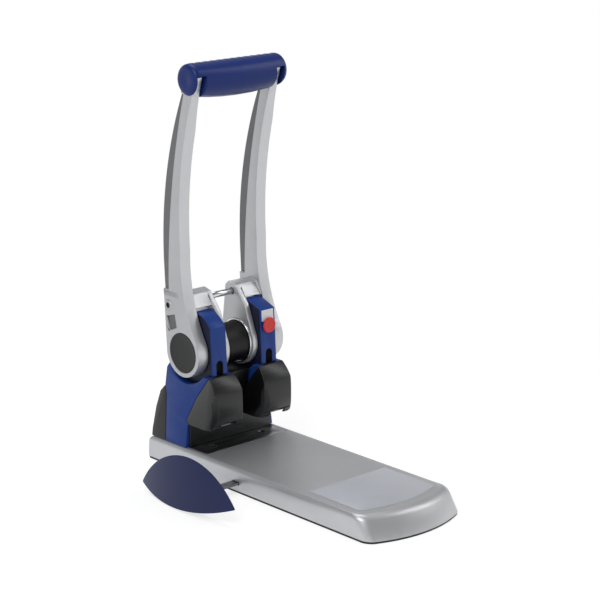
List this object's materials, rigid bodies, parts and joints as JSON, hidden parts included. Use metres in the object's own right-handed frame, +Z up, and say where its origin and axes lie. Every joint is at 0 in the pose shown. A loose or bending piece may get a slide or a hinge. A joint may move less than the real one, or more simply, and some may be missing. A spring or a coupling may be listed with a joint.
{
  "type": "heavy duty lever hole punch",
  "caption": "Heavy-duty two-hole paper punch: long upright lever with a grip, rack-driven punch pins under capped heads, flat base, sliding side stop and chip tray.",
  "frame": {"origin": "on the resting surface, midway between the two punch pins", "axes": "+X to the right across the pins, +Y to the back, +Z up"},
  "size_m": [0.2412, 0.42, 0.5075],
  "materials": {
    "silver_casting": "satin silver paint on cast aluminium",
    "arm_casting": "satin silver paint on cast aluminium",
    "blue_plastic": "satin moulded",
    "black_plastic": "fine moulded grain",
    "red_plastic": "polished moulded",
    "label_film": "satin film",
    "panel_film": "satin film",
    "rubber_mat": "matte",
    "tool_steel": "ground",
    "sheet_steel": "zinc plated",
    "bright_steel": "polished",
    "bronze": "plain",
    "cast_bed": "dark paint",
    "blackened_steel": "blackened"
  },
  "bodies": {
    "base": {"back_stop": "black_plastic", "bar_guides": "black_plastic", "base_cover": "silver_casting", "base_mat": "rubber_mat", "base_plate": "sheet_steel", "base_screws": "bright_steel", "bed_casting": "cast_bed", "central_cover": "black_plastic", "die_bushes": "tool_steel", "die_plate": "sheet_steel", "left_cap": "black_plastic", "left_head_plates": "sheet_steel", "left_hub_bushes": "bronze", "left_link_cover": "blue_plastic", "left_ram_guide": "blackened_steel", "left_spacer_bolts": "sheet_steel", "left_stripper": "sheet_steel", "left_tower_cover": "blue_plastic", "lock_label": "label_film", "panel_plate": "panel_film", "rear_cover": "black_plastic", "right_cap": "black_plastic", "right_head_plates": "sheet_steel", "right_hub_bushes": "bronze", "right_link_cover": "blue_plastic", "right_ram_guide": "blackened_steel", "right_spacer_bolts": "sheet_steel", "right_stripper": "sheet_steel", "right_tower_cover": "blue_plastic"},
    "lever": {"left_arm": "arm_casting", "right_arm": "arm_casting", "left_hub_cap": "black_plastic", "right_hub_cap": "black_plastic", "left_hub_ring": "bright_steel", "right_hub_ring": "bright_steel", "pinion_shaft": "tool_steel", "left_pinion": "tool_steel", "right_pinion": "tool_steel", "hub_tube": "black_plastic", "cross_rod": "bright_steel", "arm_screws": "blackened_steel", "handle_grip": "blue_plastic", "grip_rod": "sheet_steel"},
    "left_ram_body": {"left_ram": "tool_steel", "left_punch_pin": "tool_steel", "left_pin_screw": "bright_steel"},
    "right_ram_body": {"right_ram": "tool_steel", "right_punch_pin": "tool_steel", "right_pin_screw": "bright_steel"},
    "button": {"lock_button": "red_plastic"},
    "stop": {"side_stop": "blue_plastic", "guide_bar": "sheet_steel", "stop_screws": "bright_steel"},
    "tray": {"chip_tray": "black_plastic"}
  },
  "joints": [
    {"name": "lever_hinge", "type": "hinge", "parent": "base", "child": "lever", "pos_m": [0, 0.0215, 0.15], "axis": [1, 0, 0], "range_deg": [0, 92]},
    {"name": "left_ram_slide", "type": "slide", "parent": "base", "child": "left_ram_body", "axis": [0, 0, -1], "range_m": [0, 0.034]},
    {"name": "right_ram_slide", "type": "slide", "parent": "base", "child": "right_ram_body", "axis": [0, 0, -1], "range_m": [0, 0.034]},
    {"name": "button_press", "type": "slide", "parent": "base", "child": "button", "axis": [0, 1, 0], "range_m": [0, 0.0015], "stiffness_N_per_m": 300, "springref_m": -0.003},
    {"name": "stop_slide", "type": "slide", "parent": "base", "child": "stop", "axis": [1, 0, 0], "range_m": [-0.02, 0.04]},
    {"name": "tray_slide", "type": "slide", "parent": "base", "child": "tray", "axis": [0, 1, 0], "range_m": [0, 0.095]}
  ],
  "couplings": [
    {"joint": "left_ram_slide", "follows": "lever_hinge", "m_per_rad": 0.021},
    {"joint": "right_ram_slide", "follows": "lever_hinge", "m_per_rad": 0.021}
  ]
}
